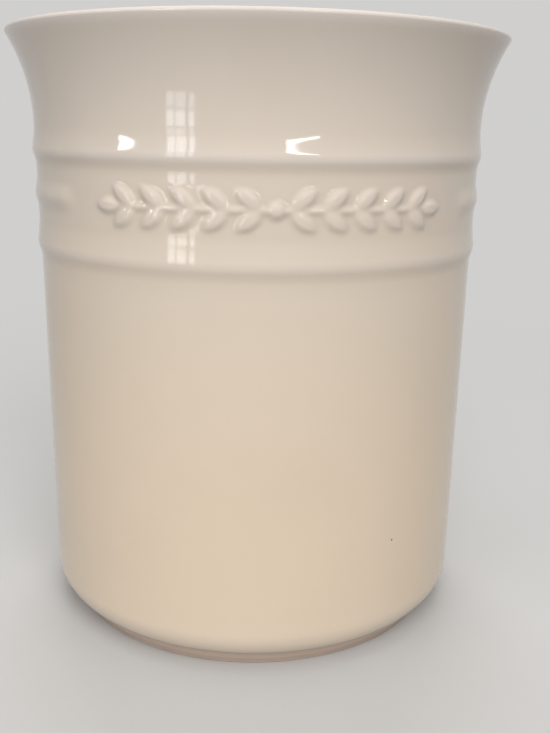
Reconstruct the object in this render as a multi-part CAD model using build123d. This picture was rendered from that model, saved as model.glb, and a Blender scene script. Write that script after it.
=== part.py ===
from build123d import *
import math
import os

# A glazed stoneware utensil crock: a round pot with a flared lip, three soft raised rings and a foot
# ring. The origin is the middle of the standing foot, +Z is up and -Y is the front.
# All sizes are millimetres. Radii and heights are those of the glazed surface.

# Driving dimensions
HEIGHT = 178.0
RIM_RADIUS = 75.1
GLAZE = 0.4                  # thickness of the fired glaze
GLAZE_LINE = 1.3             # the glaze is wiped off the foot below this height

# Foot and floor
FOOT_RADIUS = 59.3
FOOT_WIDTH = 4.4
FOOT_FACE_LEAN = 0.6         # the foot's outer face leans out this much by the groove
FOOT_INNER_LEAN = 0.2        # and its inner face leans in this much from the recess down
FOOT_EDGE = 0.9
GROOVE_RADIUS = 0.6
RECESS_DEPTH = 3.0
RECESS_CORNER = 1.5
FLOOR_THICKNESS = 6.8
FLOOR_CORNER = 12.0

# Outside wall
BASE_RADIUS = 66.45
BASE_CORNER = 10.2
BASE_CORNER_TOP = 13.4       # height where the rounded bottom corner becomes the wall
BASE_SLOPE = 24.0            # degrees above level of the underside beside the foot
WALL_TOP_RADIUS = 67.42      # under the lower ring

# Raised rings: each swells gently from above and turns in more steeply below its crest. These are the
# (radius, height) of the section's corners and how far each is rounded.
LOWER_RING_FOOT = 114.1
LOWER_RING_CREST = (68.52, 117.1)
UPPER_RING_CREST = (69.03, 144.25)
RING_FOOT_ROUND = 9.0
LOWER_CREST_ROUND = 6.8
UPPER_CREST_ROUND = 6.0
BAND_LOW = (67.75, 124.0)
BAND_HIGH = (68.0, 141.0)
BAND_LOW_ROUND = 20.0
BAND_HIGH_ROUND = 13.0

# The middle ring stops each side of the ornament at the front
MIDDLE_RING_HEIGHT = 132.0
MIDDLE_RING_CREST = 68.6
MIDDLE_RING_ROUND = 10.5
MIDDLE_RING_GAP = 112.0      # degrees left free at the front

# Neck, flare and lip
NECK_RADIUS = 68.2
NECK_HEIGHT = 149.9
NECK_ROUND = 23.0
FLARE_RADIUS = 49.3
FLARE_ANGLE = 29.5           # degrees from upright at the lip
LIP_THICKNESS = 3.2          # square to the flare; the top of the lip is level
LIP_OUTER_ROUND = 0.8
LIP_INNER_ROUND = 1.5

# Inside wall
BORE_RADIUS = 60.7           # at the floor
BORE_TOP_RADIUS = 62.4       # at the neck
INNER_FLARE_RADIUS = 45.0

# Leaf ornament on the front of the band: two branches from a middle berry
ORNAMENT_HEIGHT = 131.6      # of its stem
LEAF_LENGTH = 11.2           # tip to tip of the whole leaf body, part of it under the surface
LEAF_WIDTH = 4.6
LEAF_RISE = 1.1              # how far a leaf stands out of the band
LEAF_PAIRS = 5               # on each branch
LEAF_PITCH = 8.4
LEAF_TILT = 38.0             # degrees between a leaf and its stem
LEAF_ROOT = 4.3              # from the stem to the middle of a leaf
FIRST_LEAF = 3.4             # from the middle berry to the first leaf's root
STEM_THICKNESS = 2.0
STEM_RISE = 0.55
BERRY_RADIUS = 2.7
BERRY_RISE = 1.2

AXIS_LAP = 5.0               # the section runs this far past the axis, and is cut off there later
CUT = 200.0                  # larger than the crock


def section_outline():
    """The section of the glazed crock, right of the axis, with every corner rounded."""
    flare = math.radians(FLARE_ANGLE)
    edge = LIP_OUTER_ROUND * (1 / math.cos(flare) + math.tan(flare) - 1)
    lip_outer = (RIM_RADIUS + edge, HEIGHT)
    lip_inner = (lip_outer[0] - LIP_THICKNESS / math.cos(flare), HEIGHT)
    flare_z = HEIGHT - (lip_outer[0] - NECK_RADIUS) / math.tan(flare)
    inner_flare_z = HEIGHT - (lip_inner[0] - BORE_TOP_RADIUS) / math.tan(flare)
    turn = math.radians(90 - BASE_SLOPE)
    base_sharp_z = BASE_CORNER_TOP - BASE_CORNER * math.tan(turn / 2)
    floor_z = RECESS_DEPTH + FLOOR_THICKNESS
    corners = [
        ((FOOT_RADIUS - FOOT_WIDTH, RECESS_DEPTH), RECESS_CORNER),
        ((FOOT_RADIUS - FOOT_WIDTH + FOOT_INNER_LEAN, -GLAZE), FOOT_EDGE),
        ((FOOT_RADIUS, -GLAZE), FOOT_EDGE),
        (groove_point(base_sharp_z), GROOVE_RADIUS),
        ((BASE_RADIUS, base_sharp_z), BASE_CORNER),
        ((WALL_TOP_RADIUS, LOWER_RING_FOOT), RING_FOOT_ROUND),
        (LOWER_RING_CREST, LOWER_CREST_ROUND),
        (BAND_LOW, BAND_LOW_ROUND),
        (BAND_HIGH, BAND_HIGH_ROUND),
        (UPPER_RING_CREST, UPPER_CREST_ROUND),
        ((NECK_RADIUS, NECK_HEIGHT), NECK_ROUND),
        ((NECK_RADIUS, flare_z), FLARE_RADIUS),
        (lip_outer, LIP_OUTER_ROUND),
        (lip_inner, LIP_INNER_ROUND),
        ((BORE_TOP_RADIUS, inner_flare_z), INNER_FLARE_RADIUS),
        ((BORE_RADIUS, floor_z), FLOOR_CORNER),
    ]
    points = [(-AXIS_LAP, RECESS_DEPTH)] + [c[0] for c in corners] + [(-AXIS_LAP, floor_z)]
    path = FilletPolyline(*points, radius=[c[1] for c in corners])
    return make_face(path + Line(points[-1], points[0]))


def groove_point(base_sharp_z):
    """Where the foot's face meets the sloping underside, on the line through the base's sharp corner."""
    r = FOOT_RADIUS + FOOT_FACE_LEAN
    return r, base_sharp_z - (BASE_RADIUS - r) * math.tan(math.radians(BASE_SLOPE))


def polygon(*points):
    return make_face(Polyline(*points, close=True))


def turned(section):
    """A section in (radius, height), turned round the upright axis."""
    return revolve(Plane.XZ * section, Axis.Z)


def glaze_masks():
    """Three parts of the section, divided along the middle of the clay and at the top of the lip."""
    foot_mid = FOOT_RADIUS - FOOT_WIDTH / 2
    floor_mid = RECESS_DEPTH + FLOOR_THICKNESS / 2
    wall_mid = (BASE_RADIUS + BORE_RADIUS) / 2
    lip_mid = RIM_RADIUS - LIP_THICKNESS / 2
    low = (wall_mid, BASE_CORNER_TOP)
    high = (wall_mid, NECK_HEIGHT)
    lip = (lip_mid, HEIGHT - LIP_THICKNESS / 2)
    over = (lip_mid, CUT)
    outside = polygon((foot_mid, GLAZE_LINE), low, high, lip, over, (CUT, CUT), (CUT, GLAZE_LINE))
    inside = polygon((0, floor_mid), (foot_mid, floor_mid), low, high, lip, over, (0, CUT))
    under = polygon((0, GLAZE_LINE), (foot_mid, GLAZE_LINE), (foot_mid, floor_mid), (0, floor_mid))
    return outside, inside, under


def band_radius(height):
    """Radius of the plain band between the rings at a height."""
    (r0, z0), (r1, z1) = BAND_LOW, BAND_HIGH
    return r0 + (r1 - r0) * (height - z0) / (z1 - z0)


def on_band(shape, along, height, tilt=0.0):
    """Sets a shape, made lying along X about the origin, on the band: along is measured round the
    band from the middle of the front, and tilt turns the shape up from level."""
    radius = band_radius(height)
    turn = Rotation(0, 0, math.degrees(along / radius))
    return turn * Pos(0, -radius, height) * Rotation(0, -tilt, 0) * shape


def leaf(inset):
    """A spindle with its long axis along X, sunk so that LEAF_RISE of it shows. inset shrinks it evenly."""
    half, wide = LEAF_LENGTH / 2, LEAF_WIDTH / 2
    arc_radius = (half**2 + wide**2) / (2 * wide)
    drop = arc_radius - wide
    reach = math.sqrt((arc_radius - inset) ** 2 - drop**2)
    rib = ThreePointArc((-reach, 0), (0, wide - inset), (reach, 0))
    spindle = revolve(make_face(rib + Line((reach, 0), (-reach, 0))), Axis.X)
    return Pos(0, wide - LEAF_RISE, 0) * spindle


def berry(inset):
    """A ball, sunk so that BERRY_RISE of it shows."""
    return Pos(0, BERRY_RADIUS - BERRY_RISE, 0) * Sphere(BERRY_RADIUS - inset)


def leaf_ornament(inset):
    """Stem, leaves and middle berry of both branches. inset is 0 for the glaze and GLAZE for the clay."""
    height = ORNAMENT_HEIGHT
    last_root = FIRST_LEAF + (LEAF_PAIRS - 1) * LEAF_PITCH
    stem_end = math.degrees((last_root + LEAF_PITCH / 2) / band_radius(height))
    tube = STEM_THICKNESS / 2
    stem_at = Pos(band_radius(height) + STEM_RISE - tube, height)
    stem = revolve(Plane.XZ * stem_at * Circle(tube - inset), Axis.Z, 2 * stem_end)
    pieces = [Rotation(0, 0, -90 - stem_end) * stem]
    pieces.append(on_band(berry(inset), 0, height))
    rise = LEAF_ROOT * math.sin(math.radians(LEAF_TILT))
    run = LEAF_ROOT * math.cos(math.radians(LEAF_TILT))
    for side in (-1, 1):
        for pair in range(LEAF_PAIRS):
            along = side * (FIRST_LEAF + pair * LEAF_PITCH + run)
            for up in (-1, 1):
                pieces.append(on_band(leaf(inset), along, height + up * rise, side * up * LEAF_TILT))
        pieces.append(on_band(leaf(inset), side * (last_root + LEAF_PITCH), height))
    return pieces


def middle_ring(inset):
    """The middle ring as a shallow round moulding with a domed end each side of the ornament."""
    centre = MIDDLE_RING_CREST - MIDDLE_RING_ROUND
    tube = MIDDLE_RING_ROUND - inset
    inner = (BASE_RADIUS + BORE_RADIUS) / 2
    keep = Pos(inner + CUT / 2, MIDDLE_RING_HEIGHT) * Rectangle(CUT, CUT)
    circle = Pos(centre, MIDDLE_RING_HEIGHT) * Circle(tube)
    sweep = 360 - MIDDLE_RING_GAP
    ring = Rotation(0, 0, MIDDLE_RING_GAP / 2 - 90) * revolve(Plane.XZ * (circle & keep), Axis.Z, sweep)
    core = Pos(0, 0, MIDDLE_RING_HEIGHT) * Cylinder(inner, CUT)
    ends = []
    for side in (-1, 1):
        turn = Rotation(0, 0, side * MIDDLE_RING_GAP / 2 - 90)
        ends.append(turn * Pos(centre, 0, MIDDLE_RING_HEIGHT) * Sphere(tube) - core)
    return [ring] + ends


def build_crock():
    """The four pieces by name."""
    outline = section_outline()
    right = Pos(CUT / 2, 0) * Rectangle(CUT, 2 * CUT)
    clay_section = offset(outline, -GLAZE) & right
    coat = (outline & right) - clay_section
    outside, inside, under = glaze_masks()
    clay = Part() + [turned(clay_section), *middle_ring(GLAZE), *leaf_ornament(GLAZE)]
    outer = Part() + [turned(coat & outside), *middle_ring(0), *leaf_ornament(0)] - clay
    return {
        "stoneware_body": clay,
        "outside_glaze": outer,
        "inside_glaze": turned(coat & inside),
        "underside_glaze": turned(coat & under),
    }


os.makedirs("parts", exist_ok=True)
for name, piece in build_crock().items():
    export_step(piece, f"parts/{name}.step")
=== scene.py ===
import math

import bpy
from mathutils import Matrix, Vector


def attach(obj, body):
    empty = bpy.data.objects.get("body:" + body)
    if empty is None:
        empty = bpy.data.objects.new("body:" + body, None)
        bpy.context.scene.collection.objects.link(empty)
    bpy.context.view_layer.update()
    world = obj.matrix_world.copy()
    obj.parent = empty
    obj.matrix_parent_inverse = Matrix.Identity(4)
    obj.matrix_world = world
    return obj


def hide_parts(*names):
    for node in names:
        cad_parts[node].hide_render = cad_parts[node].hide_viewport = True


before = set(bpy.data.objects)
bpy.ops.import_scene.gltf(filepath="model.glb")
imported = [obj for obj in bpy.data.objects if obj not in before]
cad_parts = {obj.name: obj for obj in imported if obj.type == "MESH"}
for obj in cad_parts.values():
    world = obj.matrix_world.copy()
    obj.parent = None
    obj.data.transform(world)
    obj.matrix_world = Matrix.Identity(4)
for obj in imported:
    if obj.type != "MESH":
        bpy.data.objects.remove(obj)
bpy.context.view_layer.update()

MM = 0.001

# The clay body.
# One thrown pot of buff stoneware, fired hard. It shows only on the foot ring, where the glaze was
# wiped off so that the pot didn't stick to the kiln shelf: dry, fine-grained, with darker grit.

CLAY_COLOUR = (0.57, 0.46, 0.38)
CLAY_DARK = (0.41, 0.32, 0.26)
GRIT_COLOUR = (0.16, 0.11, 0.08)
CLAY_ROUGHNESS = 0.82
CLAY_ROUGHNESS_SPREAD = 0.2
CLAY_GRAIN_HEIGHT = 0.06 * MM
SPECK_EDGE = 0.3                   # of a speck's radius, over which it fades out


def link_or_set(tree, socket, value):
    """Joins an output to an input, or writes a plain value into it."""
    if isinstance(value, bpy.types.NodeSocket):
        tree.links.new(value, socket)
    else:
        socket.default_value = value


def add_node(tree, kind, settings=None, **inputs):
    """A new node with its settings and its inputs, which are named with _ for each space."""
    node = tree.nodes.new(kind)
    for name, value in (settings or {}).items():
        setattr(node, name, value)
    for name, value in inputs.items():
        link_or_set(tree, node.inputs[name.replace("_", " ")], value)
    return node


class Formula:
    """A value that varies over the surface, written with + - * / and made of Math nodes."""

    def __init__(self, tree, socket):
        self.tree = tree
        self.socket = socket

    def maths(self, operation, *others):
        node = self.tree.nodes.new("ShaderNodeMath")
        node.operation = operation
        for place, value in zip(node.inputs, (self, *others)):
            link_or_set(self.tree, place, value.socket if isinstance(value, Formula) else value)
        return Formula(self.tree, node.outputs[0])

    def __add__(self, other):
        return self.maths("ADD", other)

    def __sub__(self, other):
        return self.maths("SUBTRACT", other)

    def __rsub__(self, other):
        return self.maths("MULTIPLY", -1.0).maths("ADD", other)

    def __mul__(self, other):
        return self.maths("MULTIPLY", other)

    def __truediv__(self, other):
        return self.maths("DIVIDE", other)

    def squared(self):
        return self * self

    def root(self):
        """The square root, or 0 where the value is below 0."""
        return self.maths("MAXIMUM", 0.0).maths("SQRT")

    def at_least(self, other):
        return self.maths("MAXIMUM", other)

    def at_most(self, other):
        return self.maths("MINIMUM", other)


def fired_surface_group():
    """Clouds of tone, iron specks and a fine grain, as a kiln leaves them on clay and on glaze."""
    group = bpy.data.node_groups.new("fired_surface", "ShaderNodeTree")
    for name in ("Cloud size", "Speck spacing", "Speck size", "Speck share", "Grain size"):
        group.interface.new_socket(name, in_out="INPUT", socket_type="NodeSocketFloat")
    for name in ("Clouds", "Specks", "Grain"):
        group.interface.new_socket(name, in_out="OUTPUT", socket_type="NodeSocketFloat")
    given = group.nodes.new("NodeGroupInput")
    result = group.nodes.new("NodeGroupOutput")
    place = group.nodes.new("ShaderNodeTexCoord").outputs["Object"]

    def per_metre(name):
        return (Formula(group, given.outputs[name]).maths("POWER", -1.0)).socket

    clouds = add_node(group, "ShaderNodeTexNoise", Vector=place, Scale=per_metre("Cloud size"), Detail=3.0)
    grain = add_node(group, "ShaderNodeTexNoise", Vector=place, Scale=per_metre("Grain size"), Detail=4.0)
    cells = add_node(group, "ShaderNodeTexVoronoi", Vector=place, Scale=per_metre("Speck spacing"))
    cell_luck = add_node(group, "ShaderNodeSeparateColor", Color=cells.outputs["Color"])
    distance = Formula(group, cells.outputs["Distance"]) * given.outputs["Speck spacing"]
    radius = Formula(group, cell_luck.outputs["Green"]) * given.outputs["Speck size"]
    inside = (radius - distance) / (radius * SPECK_EDGE)
    chosen = Formula(group, cell_luck.outputs["Red"]).maths("LESS_THAN", given.outputs["Speck share"])
    specks = inside.at_least(0.0).at_most(1.0) * chosen
    group.links.new(clouds.outputs["Fac"], result.inputs["Clouds"])
    group.links.new(specks.socket, result.inputs["Specks"])
    group.links.new(grain.outputs["Fac"], result.inputs["Grain"])
    return group


fired_surface = fired_surface_group()


def mix_colour(tree, share, first, second):
    """Blends from the first colour to the second as the share goes from 0 to 1."""
    node = tree.nodes.new("ShaderNodeMix")
    node.data_type = "RGBA"
    for place, value in ((0, share), (6, first), (7, second)):
        if isinstance(value, tuple):
            value = (*value, 1.0)
        link_or_set(tree, node.inputs[place], value)
    return node.outputs[2]


def bare_clay_material():
    material = bpy.data.materials.new("bare_stoneware")
    material.use_nodes = True
    tree = material.node_tree
    shader = tree.nodes["Principled BSDF"]
    marks = add_node(
        tree, "ShaderNodeGroup", {"node_tree": fired_surface},
        Cloud_size=14 * MM, Grain_size=0.35 * MM,
        Speck_spacing=1.6 * MM, Speck_size=0.35 * MM, Speck_share=0.45,
    )
    clay = mix_colour(tree, marks.outputs["Clouds"], CLAY_DARK, CLAY_COLOUR)
    gritty = mix_colour(tree, marks.outputs["Specks"], clay, GRIT_COLOUR)
    tree.links.new(gritty, shader.inputs["Base Color"])
    rough = (Formula(tree, marks.outputs["Grain"]) - 0.5) * CLAY_ROUGHNESS_SPREAD + CLAY_ROUGHNESS
    tree.links.new(rough.socket, shader.inputs["Roughness"])
    bump = add_node(tree, "ShaderNodeBump", Height=marks.outputs["Grain"], Distance=CLAY_GRAIN_HEIGHT)
    tree.links.new(bump.outputs["Normal"], shader.inputs["Normal"])
    return material


stoneware_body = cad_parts["stoneware_body"]
stoneware_body.data.materials.clear()
stoneware_body.data.materials.append(bare_clay_material())

# The outside glaze.
# An opaque ivory glaze that the pot was dipped in, 0.4 mm thick and glossy, over the wall, the rings and
# the relief. It ends in a small roll above the foot. Its colour is darker in hollows and beside the relief,
# as pooled glaze and painted shade, and lighter over crests and the lip as a painted highlight.

GLAZE = 0.4 * MM
GLAZE_LINE = 1.3 * MM
HEIGHT = 178 * MM
RIM_RADIUS = 75.1 * MM
FOOT_RADIUS = 59.3 * MM
FOOT_WIDTH = 4.4 * MM
FOOT_FACE_LEAN = 0.6 * MM
GROOVE_ROUND = 0.6 * MM
BASE_RADIUS = 66.45 * MM
BASE_ROUND = 10.2 * MM
BASE_TOP = 13.4 * MM
BASE_SLOPE = math.radians(24)
BAND_RADIUS = 67.87 * MM
LIP_THICKNESS = 3.2 * MM           # square to the flare; the top of the lip is level
LIP_OUTER_ROUND = 0.8 * MM
LIP_INNER_ROUND = 1.5 * MM
FLARE_RADIUS = 49.3 * MM
FLARE_ANGLE = math.radians(29.5)
NECK_RADIUS = 68.2 * MM
NECK_START = 149.9 * MM

lip_edge = LIP_OUTER_ROUND * (1 / math.cos(FLARE_ANGLE) + math.tan(FLARE_ANGLE) - 1)
lip_outer = RIM_RADIUS + lip_edge
lip_inner = lip_outer - LIP_THICKNESS / math.cos(FLARE_ANGLE)
lip_middle = RIM_RADIUS - LIP_THICKNESS / 2
base_corner = BASE_TOP - BASE_ROUND * math.tan((math.pi / 2 - BASE_SLOPE) / 2)
groove_radius = FOOT_RADIUS + FOOT_FACE_LEAN
groove_height = base_corner - (BASE_RADIUS - groove_radius) * math.tan(BASE_SLOPE)
flare_corner = HEIGHT - (lip_outer - NECK_RADIUS) / math.tan(FLARE_ANGLE)
foot_lean = FOOT_FACE_LEAN / (groove_height + GLAZE)

# Each corner is (radius, height, rounding), from the glaze line up to the top of the lip.
OUTSIDE = [
    (FOOT_RADIUS + foot_lean * (GLAZE_LINE + GLAZE), GLAZE_LINE, 0),
    (groove_radius, groove_height, GROOVE_ROUND),
    (BASE_RADIUS, base_corner, BASE_ROUND),
    (67.42 * MM, 114.1 * MM, 9 * MM),
    (68.52 * MM, 117.1 * MM, 6.8 * MM),
    (67.75 * MM, 124.0 * MM, 20 * MM),
    (67.95 * MM, 141.5 * MM, 7 * MM),
    (69.06 * MM, 144.0 * MM, 4.8 * MM),
    (NECK_RADIUS, NECK_START, 23 * MM),
    (NECK_RADIUS, flare_corner, FLARE_RADIUS),
    (lip_outer, HEIGHT, LIP_OUTER_ROUND),
    (lip_middle, HEIGHT, 0),
]
ARC_BULGE = 0.005 * MM             # how far an arc may bulge beyond its steps
WALL_STEP = 5 * MM
RING_STEP = 0.6 * MM
RINGS_FROM = 108 * MM
RINGS_TO = 156 * MM
RELIEF_STEP = 0.34 * MM
RELIEF_FROM = 123.6 * MM
RELIEF_TO = 139.6 * MM
CLAY_SIDE_STEP = 5 * MM
CLAY_SIDE_FINE_STEP = 2.5 * MM     # beside the rings and the flare
ROLL_STEPS = 4
SAME_PLACE = 0.001 * MM
HOLLOW_REACH = 1.6 * MM
LEAST_REACH = 0.1 * MM


def rounded_path(corners):
    """The points of a path in (radius, height), with an arc at each corner."""
    at = [Vector(c[:2]) for c in corners]
    points = [at[0]]
    for before, corner, after, (_, _, rounding) in zip(at, at[1:], at[2:], corners[1:]):
        arrive = (corner - before).normalized()
        leave = (after - corner).normalized()
        turn = arrive.angle(leave)
        if turn < 1e-6:
            points.append(corner)
            continue
        start = corner - arrive * rounding * math.tan(turn / 2)
        inwards = (leave - arrive * arrive.dot(leave)).normalized()
        centre = start + inwards * rounding
        steps = max(2, math.ceil(turn / math.sqrt(8 * ARC_BULGE / rounding)))
        for step in range(steps + 1):
            angle = turn * step / steps
            points.append(centre + rounding * (arrive * math.sin(angle) - inwards * math.cos(angle)))
    points.append(at[-1])
    return points


def divided(points, longest):
    """The same path with no run longer than longest(height) says."""
    result = [points[0]]
    for start, end in zip(points, points[1:]):
        run = (end - start).length
        pieces = max(1, math.ceil(run / longest((start.y + end.y) / 2) - 1e-6))
        result += [start.lerp(end, piece / pieces) for piece in range(1, pieces + 1)]
    return result


def path_sides(points):
    """The unit vector to the left of the path at each point."""
    sides = []
    for i in range(len(points)):
        ahead = points[min(i + 1, len(points) - 1)] - points[i]
        behind = points[i] - points[max(i - 1, 0)]
        way = ahead.normalized() + behind.normalized()
        sides.append(Vector((-way.y, way.x)).normalized())
    return sides


def hollows(points):
    """How hollow the path is at each point seen from its right, in radians per metre, evened out."""
    bends = []
    for before, here, after in zip(points, points[1:], points[2:]):
        bend = (here - before).angle_signed(after - here)
        bends.append((here, bend, ((after - here).length + (here - before).length) / 2))
    result = []
    for point in points:
        nearness = [math.exp(-(((here - point).length / HOLLOW_REACH) ** 2)) for here, _, _ in bends]
        total = sum(bend * near for (_, bend, _), near in zip(bends, nearness))
        reach = sum(run * near for (_, _, run), near in zip(bends, nearness))
        result.append(total / max(reach, LEAST_REACH))
    return result


def coat_section(name, face, round_end):
    """The section of a glaze coat as a line of points: its face, with the clay on the left, then the
    clay side back again. Both ends are closed, and round_end gives the first one a small roll."""
    back = [p + side * GLAZE for p, side in zip(face, path_sides(face))]
    kept = [back[0]]
    for point in back[1:-1]:
        step = CLAY_SIDE_FINE_STEP if point.y > RINGS_FROM else CLAY_SIDE_STEP
        if (point - kept[-1]).length > step:
            kept.append(point)
    kept.append(back[-1])
    loop = list(face) + kept[::-1]
    shows = [1.0] * len(face) + [0.0] * len(kept)
    hollow = hollows(face) + [0.0] * len(kept)
    if round_end:
        middle = (face[0] + back[0]) / 2
        out = (face[0] - back[0]) / 2
        down = Vector((out.y, -out.x))
        for step in range(1, ROLL_STEPS):
            angle = math.pi * step / ROLL_STEPS
            loop.append(middle - out * math.cos(angle) + down * math.sin(angle))
            shows.append(0.0)
            hollow.append(0.0)
    loop.append(face[0])
    shows.append(1.0)
    hollow.append(hollow[0])
    mesh = bpy.data.meshes.new(name)
    mesh.from_pydata([(p.x, 0, p.y) for p in loop], [(i, i + 1) for i in range(len(loop) - 1)], [])
    mesh.attributes.new("shows", "FLOAT", "POINT").data.foreach_set("value", shows)
    mesh.attributes.new("hollow", "FLOAT", "POINT").data.foreach_set("value", hollow)
    piece = bpy.data.objects.new(name, mesh)
    bpy.context.scene.collection.objects.link(piece)
    return piece


def new_geometry_tree(name, inputs):
    """A Geometry Nodes tree with its inputs, and its input and output nodes."""
    tree = bpy.data.node_groups.new(name, "GeometryNodeTree")
    tree.interface.new_socket("Geometry", in_out="INPUT", socket_type="NodeSocketGeometry")
    for label, kind in inputs:
        tree.interface.new_socket(label, in_out="INPUT", socket_type="NodeSocket" + kind)
    tree.interface.new_socket("Geometry", in_out="OUTPUT", socket_type="NodeSocketGeometry")
    return tree, tree.nodes.new("NodeGroupInput").outputs, tree.nodes.new("NodeGroupOutput").inputs


def turned_tree():
    """Turns a section, whose x is the radius, round the upright axis, closely spaced over the front."""
    names = [("Steps in front", "Int"), ("Steps behind", "Int"), ("Front half angle", "Float")]
    tree, given, result = new_geometry_tree("turned_on_a_wheel", names + [("Finish", "Material")])
    front = Formula(tree, given["Steps in front"])
    around = front + given["Steps behind"]
    half = Formula(tree, given["Front half angle"])
    size = add_node(tree, "GeometryNodeAttributeDomainSize", Geometry=given["Geometry"])
    rows = Formula(tree, size.outputs["Point Count"])
    grid = add_node(
        tree, "GeometryNodeMeshGrid",
        Size_X=around.socket, Size_Y=(rows - 1).socket,
        Vertices_X=(around + 1).socket, Vertices_Y=rows.socket,
    )
    position = tree.nodes.new("GeometryNodeInputPosition").outputs[0]
    flat = add_node(tree, "ShaderNodeSeparateXYZ", Vector=position)
    column = (Formula(tree, flat.outputs["X"]) + around * 0.5).maths("ROUND")
    row = (Formula(tree, flat.outputs["Y"]) + (rows - 1) * 0.5).maths("ROUND")

    def from_section(kind, value):
        node = add_node(tree, "GeometryNodeSampleIndex", {"data_type": kind}, Geometry=given["Geometry"])
        tree.links.new(value, node.inputs["Value"])
        tree.links.new(row.socket, node.inputs["Index"])
        return node.outputs["Value"]

    section = from_section("FLOAT_VECTOR", position)
    place = add_node(tree, "ShaderNodeSeparateXYZ", Vector=section)
    radius = Formula(tree, place.outputs["X"])
    in_front = column.at_most(front) / front * 2.0 * half - half
    behind = (column - front).at_least(0.0) / given["Steps behind"] * (half * -2.0 + 2 * math.pi)
    angle = in_front + behind
    turned = add_node(
        tree, "ShaderNodeCombineXYZ",
        X=(radius * angle.maths("SINE")).socket,
        Y=(radius * angle.maths("COSINE") * -1.0).socket,
        Z=place.outputs["Z"],
    )
    geometry = grid.outputs["Mesh"]
    for name in ("shows", "hollow"):
        read = add_node(tree, "GeometryNodeInputNamedAttribute", Name=name)
        keep = add_node(tree, "GeometryNodeStoreNamedAttribute", Geometry=geometry, Name=name)
        tree.links.new(from_section("FLOAT", read.outputs["Attribute"]), keep.inputs["Value"])
        geometry = keep.outputs["Geometry"]
    shaped = add_node(tree, "GeometryNodeSetPosition", Geometry=geometry, Position=turned.outputs["Vector"])
    closed = add_node(tree, "GeometryNodeMergeByDistance", Geometry=shaped.outputs[0], Distance=SAME_PLACE)
    faces_beside = tree.nodes.new("GeometryNodeInputMeshEdgeNeighbors").outputs["Face Count"]
    loose = Formula(tree, faces_beside).maths("LESS_THAN", 1.0)
    clean = add_node(
        tree, "GeometryNodeDeleteGeometry", {"domain": "EDGE"},
        Geometry=closed.outputs[0], Selection=loose.socket,
    )
    whole = add_node(tree, "GeometryNodeRealizeInstances", Geometry=clean.outputs[0])
    finish = add_node(tree, "GeometryNodeSetMaterial", Geometry=whole.outputs[0], Material=given["Finish"])
    tree.links.new(finish.outputs[0], result["Geometry"])
    return tree


turned_on_a_wheel = turned_tree()


def run_tree(piece, tree, values):
    """Runs a Geometry Nodes tree on a piece and leaves its plain mesh."""
    modifier = piece.modifiers.new(tree.name, "NODES")
    modifier.node_group = tree
    for item in tree.interface.items_tree:
        if item.in_out == "INPUT" and item.name in values:
            modifier[item.identifier] = values[item.name]
    graph = bpy.context.evaluated_depsgraph_get()
    made = bpy.data.meshes.new_from_object(
        piece.evaluated_get(graph), preserve_all_data_layers=True, depsgraph=graph
    )
    piece.modifiers.remove(modifier)
    piece.data = made
    made.name = piece.name


# The leaf relief and the middle ring are pressed into the clay under the glaze, which softens them. Two
# branches of leaves in pairs leave a middle berry, and the middle ring stops short of them.
RELIEF = {
    "Band radius": BAND_RADIUS,
    "Middle height": 131.6 * MM,
    "Leaf length": 8.8 * MM,
    "Leaf width": 4.1 * MM,
    "Leaf rise": 1.15 * MM,
    "Vein depth": 0.32,
    "Leaf pitch": 8.4 * MM,
    "Leaf tilt": math.radians(38),
    "Leaf root": 4.3 * MM,
    "First leaf": 3.4 * MM,
    "Leaf pairs": 5,
    "Stem width": 1.9 * MM,
    "Stem rise": 0.6 * MM,
    "Berry radius": 2.3 * MM,
    "Berry rise": 1.25 * MM,
    "Ring rise": 0.76 * MM,
    "Ring crest": 0.4 * MM,
    "Ring top": 5.2 * MM,
    "Ring foot": -4.6 * MM,
    "Ring gap": math.radians(97),
    "Ring fade": 8.5 * MM,
    "Softening": 5,
}
VEIN_HALF_WIDTH = 0.38 * MM
RELIEF_REACH = 9 * MM              # no relief further than this above or below its middle
RING_STEEPNESS = 1.5               # above 1 the ring's underside is steepest near its crest
POOL_AND_SHADE_REACH = 14                 # blurring steps over which pooled glaze and painted shade spread beside the relief


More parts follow.
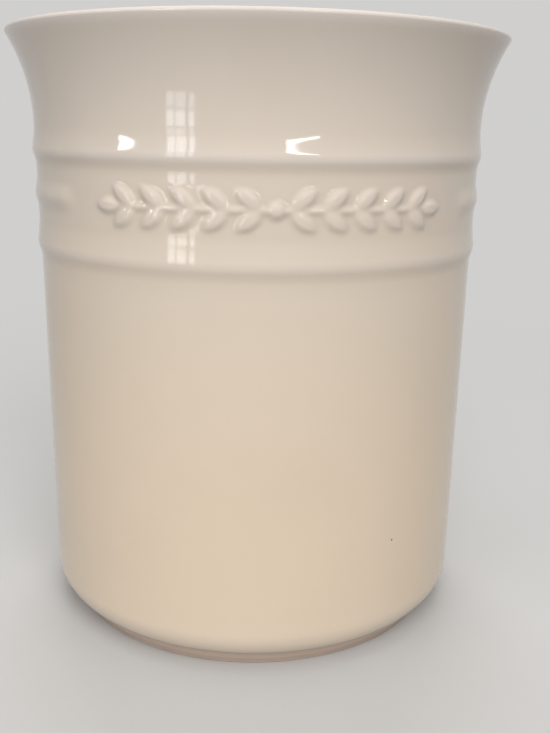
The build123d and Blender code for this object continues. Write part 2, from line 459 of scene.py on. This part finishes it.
def relief_tree():
    """Raises the showing side of the band: leaves, stem, berry and the middle ring, then softens them."""
    kinds = [(name, "Int" if isinstance(value, int) else "Float") for name, value in RELIEF.items()]
    tree, given, result = new_geometry_tree("leaf_relief", kinds)

    def size(name):
        return Formula(tree, given[name])

    position = tree.nodes.new("GeometryNodeInputPosition").outputs[0]
    place = add_node(tree, "ShaderNodeSeparateXYZ", Vector=position)
    x = Formula(tree, place.outputs["X"])
    forwards = Formula(tree, place.outputs["Y"]) * -1.0
    angle = x.maths("ARCTAN2", forwards).maths("ABSOLUTE")
    along = angle * given["Band radius"]
    level = Formula(tree, place.outputs["Z"]) - size("Middle height")
    off_level = level.maths("ABSOLUTE")
    tilt = size("Leaf tilt")

    def leaf(u, v):
        """Height of a leaf at u along its rib from its middle, and v across it."""
        part = u / (size("Leaf length") * 0.5)
        taper = (1.0 - part.squared()).at_least(0.001)
        across = v / (size("Leaf width") * 0.5 * taper)
        vein = (v / VEIN_HALF_WIDTH).squared() * -1.0
        groove = 1.0 - vein.maths("EXPONENT") * given["Vein depth"]
        shown = (1.0 - across.squared()).at_least(0.0)
        return size("Leaf rise") * taper.root() * shown.root() * groove

    def leaf_of_pair(number):
        root = size("Leaf root")
        middle_along = size("First leaf") + number * given["Leaf pitch"] + root * tilt.maths("COSINE")
        middle_off = root * tilt.maths("SINE")
        across = along - middle_along
        up = off_level - middle_off
        u = across * tilt.maths("COSINE") + up * tilt.maths("SINE")
        v = up * tilt.maths("COSINE") - across * tilt.maths("SINE")
        return leaf(u, v)

    last = size("Leaf pairs") - 1
    pair = ((along - given["First leaf"]) / given["Leaf pitch"]).maths("FLOOR").at_least(0.0).at_most(last)
    next_pair = (pair + 1).at_most(last)
    stem_length = size("First leaf") + size("Leaf pairs") * given["Leaf pitch"]
    end_leaf = leaf(along - stem_length, level)
    stem_along = ((along - stem_length) / (size("Stem width") * 0.5)).at_least(0.0)
    stem_across = level / (size("Stem width") * 0.5)
    stem = size("Stem rise") * (1.0 - stem_across.squared() - stem_along.squared()).root()
    berry_off = (along.squared() + level.squared()) / size("Berry radius").squared()
    berry = size("Berry rise") * (1.0 - berry_off).root()

    def eased(value, none_at, full_at):
        """Goes smoothly from 0 to 1 between two places."""
        share = ((value - none_at) / (full_at - none_at)).at_least(0.0).at_most(1.0)
        return share.squared() * (3.0 - share * 2.0)

    into_ring = (angle - size("Ring gap") * 0.5) * given["Band radius"]
    above = eased(level, size("Ring top"), size("Ring crest"))
    below = eased(level, size("Ring foot"), size("Ring crest")).maths("POWER", RING_STEEPNESS)
    ring = above * below * eased(into_ring, 0.0, size("Ring fade")) * given["Ring rise"]
    radius = (x.squared() + forwards.squared()).root()
    raised = leaf_of_pair(pair).at_least(leaf_of_pair(next_pair)).at_least(end_leaf)
    raised = raised.at_least(stem).at_least(berry).at_least(ring)
    shows = add_node(tree, "GeometryNodeInputNamedAttribute", Name="shows").outputs["Attribute"]
    near = off_level.maths("LESS_THAN", RELIEF_REACH)
    height = raised * shows * near

    def blurred(value, steps):
        node = add_node(tree, "GeometryNodeBlurAttribute", Iterations=steps)
        tree.links.new(value.socket, node.inputs["Value"])
        return Formula(tree, node.outputs["Value"])

    soft = blurred(height, given["Softening"]) * shows
    keep_height = add_node(
        tree, "GeometryNodeStoreNamedAttribute", Geometry=given["Geometry"], Name="raised"
    )
    tree.links.new(soft.socket, keep_height.inputs["Value"])
    kept_height = add_node(tree, "GeometryNodeInputNamedAttribute", Name="raised")
    read = Formula(tree, kept_height.outputs["Attribute"])
    # Where the surface lies below its blurred height, pooled glaze and painted shade darken it.
    pool_and_shade = (blurred(read, POOL_AND_SHADE_REACH) - read) / given["Leaf rise"]
    keep_pool_and_shade = add_node(
        tree, "GeometryNodeStoreNamedAttribute", Geometry=keep_height.outputs[0], Name="pool_and_shade"
    )
    tree.links.new(pool_and_shade.socket, keep_pool_and_shade.inputs["Value"])
    outwards = add_node(
        tree, "ShaderNodeCombineXYZ",
        X=(x / radius.at_least(MM) * read).socket,
        Y=(forwards / radius.at_least(MM) * read * -1.0).socket,
    )
    moved = add_node(
        tree, "GeometryNodeSetPosition", Geometry=keep_pool_and_shade.outputs[0], Offset=outwards.outputs["Vector"]
    )
    whole = add_node(tree, "GeometryNodeRealizeInstances", Geometry=moved.outputs[0])
    tree.links.new(whole.outputs[0], result["Geometry"])
    return tree


WARM_LIGHT_UP_TO = 40 * MM               # painted light: the glaze is tinted warm low down and cooler towards the lip
COOL_LIGHT_FROM = 170 * MM
# The glaze's colour under cool light high up and warm light low down: painted light.
GLAZE_IN_COOL_LIGHT = (0.72, 0.63, 0.54)
GLAZE_IN_WARM_LIGHT = (0.755, 0.615, 0.465)
# The darker colour of pooled glaze and of painted shade in hollows and beside the relief.
GLAZE_POOLED_AND_SHADED = (0.50, 0.40, 0.29)
# A painted highlight on crests and the lip, where the glaze also runs thin.
GLAZE_THIN_AND_HIGHLIGHT = (0.86, 0.77, 0.71)
# The thin glaze's colour at the foot, with painted shade under the base's round.
GLAZE_THIN_AND_SHADED_AT_FOOT = (0.44, 0.32, 0.27)
IRON_SPECK = (0.10, 0.07, 0.05)
GLAZE_ROUGHNESS = 0.07
GLAZE_ROUGHNESS_SPREAD = 0.05
GLAZE_IOR = 1.52
RIPPLE_SIZE = 11 * MM
RIPPLE_HEIGHT = 0.014 * MM
PEEL_SHARE = 0.07                  # of the ripple's height, for the fine orange peel
POOL_AND_SHADE_SHARE = 1.3                   # how strongly pooled glaze and painted shade darken the colour beside the relief
HOLLOW_POOLING_AND_SHADE = 1.7 * MM          # and in a hollow of the wall, times its bend
MOST_POOLED_AND_SHADED = 0.95
MOST_THIN_AND_HIGHLIGHT = 0.75
CLOUD_SHARE = 0.35
FOOT_SHADE_FROM = 7.5 * MM         # below this the glaze is wiped thin over the toasted clay and darkened by painted shade under the base's round
FOOT_SHADE_TO = 4.5 * MM
FOOT_SHADE = 0.62


def glaze_material():
    material = bpy.data.materials.new("ivory_glaze")
    material.use_nodes = True
    tree = material.node_tree
    shader = tree.nodes["Principled BSDF"]
    shader.inputs["IOR"].default_value = GLAZE_IOR
    marks = add_node(
        tree, "ShaderNodeGroup", {"node_tree": fired_surface},
        Cloud_size=38 * MM, Grain_size=1.5 * MM,
        Speck_spacing=17 * MM, Speck_size=0.5 * MM, Speck_share=0.16,
    )
    place = tree.nodes.new("ShaderNodeTexCoord").outputs["Object"]
    height = add_node(tree, "ShaderNodeSeparateXYZ", Vector=place).outputs["Z"]
    # Painted light: a tint from warm low down to cool towards the lip, as the light falls on the wall.
    up = add_node(
        tree, "ShaderNodeMapRange", {"interpolation_type": "SMOOTHSTEP"},
        Value=height, From_Min=WARM_LIGHT_UP_TO, From_Max=COOL_LIGHT_FROM,
    )
    colour = mix_colour(tree, up.outputs["Result"], GLAZE_IN_WARM_LIGHT, GLAZE_IN_COOL_LIGHT)
    pool_and_shade = Formula(tree, add_node(tree, "ShaderNodeAttribute", {"attribute_name": "pool_and_shade"}).outputs["Fac"])
    hollow = Formula(tree, add_node(tree, "ShaderNodeAttribute", {"attribute_name": "hollow"}).outputs["Fac"])
    # Pooled glaze and painted shade darken the hollows and the ground beside the relief.
    thickness_and_light = pool_and_shade * POOL_AND_SHADE_SHARE + hollow * HOLLOW_POOLING_AND_SHADE
    colour = mix_colour(tree, thickness_and_light.at_least(0.0).at_most(MOST_POOLED_AND_SHADED).socket, colour, GLAZE_POOLED_AND_SHADED)
    # Painted highlight: the crests and the lip are lighter, where the glaze also runs thin.
    thinness_and_highlight = (thickness_and_light * -1.0).at_least(0.0).at_most(MOST_THIN_AND_HIGHLIGHT)
    colour = mix_colour(tree, thinness_and_highlight.socket, colour, GLAZE_THIN_AND_HIGHLIGHT)
    # Painted shade under the base's round and on the foot, mixed with the colour of the thin glaze there.
    low = add_node(
        tree, "ShaderNodeMapRange", {"interpolation_type": "SMOOTHSTEP"},
        Value=height, From_Min=FOOT_SHADE_FROM, From_Max=FOOT_SHADE_TO, To_Max=FOOT_SHADE,
    )
    colour = mix_colour(tree, low.outputs["Result"], colour, GLAZE_THIN_AND_SHADED_AT_FOOT)
    clouded = (Formula(tree, marks.outputs["Clouds"]) - 0.5).at_least(0.0) * CLOUD_SHARE
    colour = mix_colour(tree, clouded.socket, colour, GLAZE_POOLED_AND_SHADED)
    colour = mix_colour(tree, marks.outputs["Specks"], colour, IRON_SPECK)
    tree.links.new(colour, shader.inputs["Base Color"])
    rough = (Formula(tree, marks.outputs["Clouds"]) - 0.5) * GLAZE_ROUGHNESS_SPREAD + GLAZE_ROUGHNESS
    tree.links.new(rough.socket, shader.inputs["Roughness"])
    ripple = add_node(tree, "ShaderNodeTexNoise", Vector=place, Scale=1 / RIPPLE_SIZE, Detail=1.0)
    surface = Formula(tree, ripple.outputs["Fac"]) + Formula(tree, marks.outputs["Grain"]) * PEEL_SHARE
    bump = add_node(tree, "ShaderNodeBump", Height=surface.socket, Distance=RIPPLE_HEIGHT)
    tree.links.new(bump.outputs["Normal"], shader.inputs["Normal"])
    return material


ivory_glaze = glaze_material()
SHARP_FROM = math.radians(55)
FRONT_HALF_ANGLE = math.radians(58)  # just past the middle ring's ends
RELIEF_COLUMNS = 340               # steps round the front, fine enough for the leaves' veins
BACK_COLUMNS = 84


def glaze_coat(name, face, round_end, steps_in_front, steps_behind):
    """A coat turned from its face's path, as a plain mesh."""
    coat = coat_section(name, face, round_end)
    values = {
        "Steps in front": steps_in_front,
        "Steps behind": steps_behind,
        "Front half angle": FRONT_HALF_ANGLE,
        "Finish": ivory_glaze,
    }
    run_tree(coat, turned_on_a_wheel, values)
    return coat


def fit_coat(coat, node):
    """Shades the coat smooth, but for its cut ends, and puts it in its node's place."""
    coat.data.shade_smooth()
    coat.data.set_sharp_from_angle(angle=SHARP_FROM)
    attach(coat, "root")
    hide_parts(node)


def outside_step(height):
    if RELIEF_FROM < height < RELIEF_TO:
        return RELIEF_STEP
    return RING_STEP if RINGS_FROM < height < RINGS_TO else WALL_STEP


outside_face = divided(rounded_path(OUTSIDE), outside_step)
glazed_outside = glaze_coat("glazed_outside", outside_face, True, RELIEF_COLUMNS, BACK_COLUMNS)
run_tree(glazed_outside, relief_tree(), RELIEF)
fit_coat(glazed_outside, "outside_glaze")

# The inside glaze.
# The same glaze, poured in and swilled round before the outside was dipped. It lines the floor and the
# bore, and meets the outside coat along the top of the lip.

FLOOR_HEIGHT = 9.8 * MM
FLOOR_ROUND = 12 * MM
BORE_RADIUS = 60.7 * MM
BORE_TOP_RADIUS = 62.4 * MM
INNER_FLARE_ROUND = 45 * MM
INSIDE_COLUMNS = (104, 256)        # in front and behind

inner_flare_corner = HEIGHT - (lip_inner - BORE_TOP_RADIUS) / math.tan(FLARE_ANGLE)
INSIDE = [
    (lip_middle, HEIGHT, 0),
    (lip_inner, HEIGHT, LIP_INNER_ROUND),
    (BORE_TOP_RADIUS, inner_flare_corner, INNER_FLARE_ROUND),
    (BORE_RADIUS, FLOOR_HEIGHT, FLOOR_ROUND),
    (0, FLOOR_HEIGHT, 0),
]


def plain_step(height):
    return WALL_STEP


inside_face = divided(rounded_path(INSIDE), plain_step)
glazed_inside = glaze_coat("glazed_inside", inside_face, False, *INSIDE_COLUMNS)
fit_coat(glazed_inside, "inside_glaze")

# The underside glaze.
# The glaze that was left in the shallow recess within the foot ring when the ring was wiped clean.

RECESS_DEPTH = 3 * MM
RECESS_ROUND = 1.5 * MM
RECESS_TAPER = 0.1 * MM
UNDERSIDE_COLUMNS = (52, 128)

recess_wall = FOOT_RADIUS - FOOT_WIDTH
UNDERSIDE = [
    (recess_wall + RECESS_TAPER, GLAZE_LINE, 0),
    (recess_wall, RECESS_DEPTH, RECESS_ROUND),
    (0, RECESS_DEPTH, 0),
]
underside_face = divided(rounded_path(UNDERSIDE), plain_step)
glazed_underside = glaze_coat("glazed_underside", underside_face, False, *UNDERSIDE_COLUMNS)
fit_coat(glazed_underside, "underside_glaze")

# The studio: a pale floor out to the horizon, a low window of panes and soft lamps.
PALE_GREY = (0.63, 0.625, 0.615)   # the floor and the backdrop, where they are seen
FADE_FROM = 0.09
FADE_TO = 0.7
FLOOR_BOUNCE = 0.40
FLOOR_RADIUS = 9.0
FLOOR_SIDES = 96


def pale_where_seen(tree):
    """1 for light on its way to the camera, straight or by a mirror or glass, and otherwise 0."""
    path = tree.nodes.new("ShaderNodeLightPath").outputs
    seen = Formula(tree, path["Is Camera Ray"])
    return seen.at_least(path["Is Glossy Ray"]).at_least(path["Is Transmission Ray"])


def studio_floor():
    around = [2 * math.pi * i / FLOOR_SIDES for i in range(FLOOR_SIDES)]
    points = [(FLOOR_RADIUS * math.cos(a), FLOOR_RADIUS * math.sin(a), 0) for a in around]
    mesh = bpy.data.meshes.new("studio_floor")
    mesh.from_pydata(points, [], [tuple(range(FLOOR_SIDES))])
    floor = bpy.data.objects.new("studio_floor", mesh)
    bpy.context.scene.collection.objects.link(floor)
    material = bpy.data.materials.new("pale_paper")
    material.use_nodes = True
    tree = material.node_tree
    shader = tree.nodes["Principled BSDF"]
    shader.inputs["Roughness"].default_value = 1.0
    shader.inputs["Specular IOR Level"].default_value = 0.0
    seen = pale_where_seen(tree)
    colour = mix_colour(tree, seen.socket, (FLOOR_BOUNCE,) * 3, PALE_GREY)
    tree.links.new(colour, shader.inputs["Base Color"])
    place = tree.nodes.new("ShaderNodeTexCoord").outputs["Object"]
    away = add_node(tree, "ShaderNodeVectorMath", {"operation": "LENGTH"})
    tree.links.new(place, away.inputs[0])
    fade = add_node(
        tree, "ShaderNodeMapRange", {"interpolation_type": "SMOOTHSTEP"},
        Value=away.outputs["Value"], From_Min=FADE_FROM, From_Max=FADE_TO,
    )
    backdrop = add_node(tree, "ShaderNodeEmission", Color=(*PALE_GREY, 1), Strength=seen.socket)
    blend = add_node(tree, "ShaderNodeMixShader", Fac=fade.outputs["Result"])
    tree.links.new(shader.outputs["BSDF"], blend.inputs[1])
    tree.links.new(backdrop.outputs["Emission"], blend.inputs[2])
    clear = tree.nodes.new("ShaderNodeBsdfTransparent")
    below = tree.nodes.new("ShaderNodeNewGeometry").outputs["Backfacing"]
    from_below = add_node(tree, "ShaderNodeMixShader", Fac=below)
    tree.links.new(blend.outputs["Shader"], from_below.inputs[1])
    tree.links.new(clear.outputs["BSDF"], from_below.inputs[2])
    tree.links.new(from_below.outputs["Shader"], tree.nodes["Material Output"].inputs["Surface"])
    mesh.materials.append(material)


studio_floor()

AIM = Vector((0, 0, 0.1))


def soft_lamp(
    name, azimuth, elevation, distance, width, height, power, colour=(1, 1, 1), roll=0, mirrored=True
):
    """A rectangular lamp aimed at the crock: azimuth is to the right of the front, in degrees."""
    lamp = bpy.data.lights.new(name, "AREA")
    lamp.shape = "RECTANGLE"
    lamp.size = width
    lamp.size_y = height
    lamp.energy = power
    lamp.color = colour
    holder = bpy.data.objects.new(name, lamp)
    bpy.context.scene.collection.objects.link(holder)
    side = math.radians(azimuth)
    rise = math.radians(elevation)
    back = Vector((math.sin(side) * math.cos(rise), -math.cos(side) * math.cos(rise), math.sin(rise)))
    place = Matrix.Translation(AIM + back * distance)
    turn = (-back).to_track_quat("-Z", "Y").to_matrix().to_4x4()
    holder.matrix_world = place @ turn @ Matrix.Rotation(math.radians(roll), 4, "Z")
    holder.visible_camera = False
    holder.visible_glossy = mirrored


WINDOW_AZIMUTH = -38.5
WINDOW_DISTANCE = 0.62
WINDOW_COLOUR = (0.97, 0.985, 1.0)
# Each strip of daylight between the curtains: degrees from the window's middle, and degrees wide.
WINDOW_STRIPS = [(-5.0, 3.6), (-0.2, 4.6), (4.9, 2.4)]
# Each row of panes: its middle and its height in degrees, and how bright it looks, where 1 is white.
WINDOW_ROWS = [(-4.4, 6.0, 3.0), (2.9, 6.6, 5.0), (10.4, 6.4, 3.2), (18.0, 6.8, 5.6)]


def window():
    """Uneven strips of panes from near the floor up, which show as the streaks on the gloss."""
    for column, (aside, wide) in enumerate(WINDOW_STRIPS):
        for row, (elevation, high, light) in enumerate(WINDOW_ROWS):
            width = WINDOW_DISTANCE * math.radians(wide)
            height = WINDOW_DISTANCE * math.radians(high)
            power = light * math.pi * width * height
            name = f"window_pane_{column}_{row}"
            azimuth = WINDOW_AZIMUTH + aside
            soft_lamp(name, azimuth, elevation, WINDOW_DISTANCE, width, height, power, WINDOW_COLOUR)


window()
soft_lamp("left_lamp", -68, 14, 1.6, 0.30, 0.07, 1.0, roll=24)
soft_lamp("right_lamp", 17, 14, 1.6, 0.44, 0.07, 1.4, roll=-20)
soft_lamp("front_soft", 4, 38, 2.4, 1.8, 1.4, 35.5, mirrored=False)
soft_lamp("low_soft", 0, 9, 2.4, 1.8, 0.6, 6, mirrored=False)
soft_lamp("top_soft", 0, 80, 2.4, 1.8, 1.8, 16, mirrored=False)
soft_lamp("back_soft", 176, 38, 2.4, 1.8, 1.4, 26, mirrored=False)

WORLD_LIGHT = 0.28


def studio_world():
    """Pale where it is seen or mirrored, and dimmer as a light."""
    world = bpy.data.worlds.new("studio_world")
    bpy.context.scene.world = world
    world.use_nodes = True
    tree = world.node_tree
    background = tree.nodes["Background"]
    background.inputs["Color"].default_value = (*PALE_GREY, 1)
    strength = pale_where_seen(tree) * (1 - WORLD_LIGHT) + WORLD_LIGHT
    tree.links.new(strength.socket, background.inputs["Strength"])


studio_world()

# The camera, where the photograph was taken from: close by, a little below the lip and looking down.
CAMERA_DISTANCE = 0.2913
CAMERA_HEIGHT = 0.1503
CAMERA_AZIMUTH = math.radians(-4)
CAMERA_YAW = math.radians(1.29)
CAMERA_PITCH = math.radians(14.6)
CAMERA_ROLL = math.radians(1.007)
CAMERA_LENS = 44.07

camera = bpy.data.objects.new("camera", bpy.data.cameras.new("camera"))
bpy.context.scene.collection.objects.link(camera)
camera.data.lens = CAMERA_LENS
camera.data.clip_start = 0.01
camera.matrix_world = (
    Matrix.Rotation(CAMERA_AZIMUTH, 4, "Z")
    @ Matrix.Translation((0, -CAMERA_DISTANCE, CAMERA_HEIGHT))
    @ Matrix.Rotation(-CAMERA_YAW, 4, "Z")
    @ Matrix.Rotation(math.pi / 2 - CAMERA_PITCH, 4, "X")
    @ Matrix.Rotation(CAMERA_ROLL, 4, "Z")
)
bpy.context.scene.camera = camera
bpy.context.scene.view_settings.view_transform = "Standard"
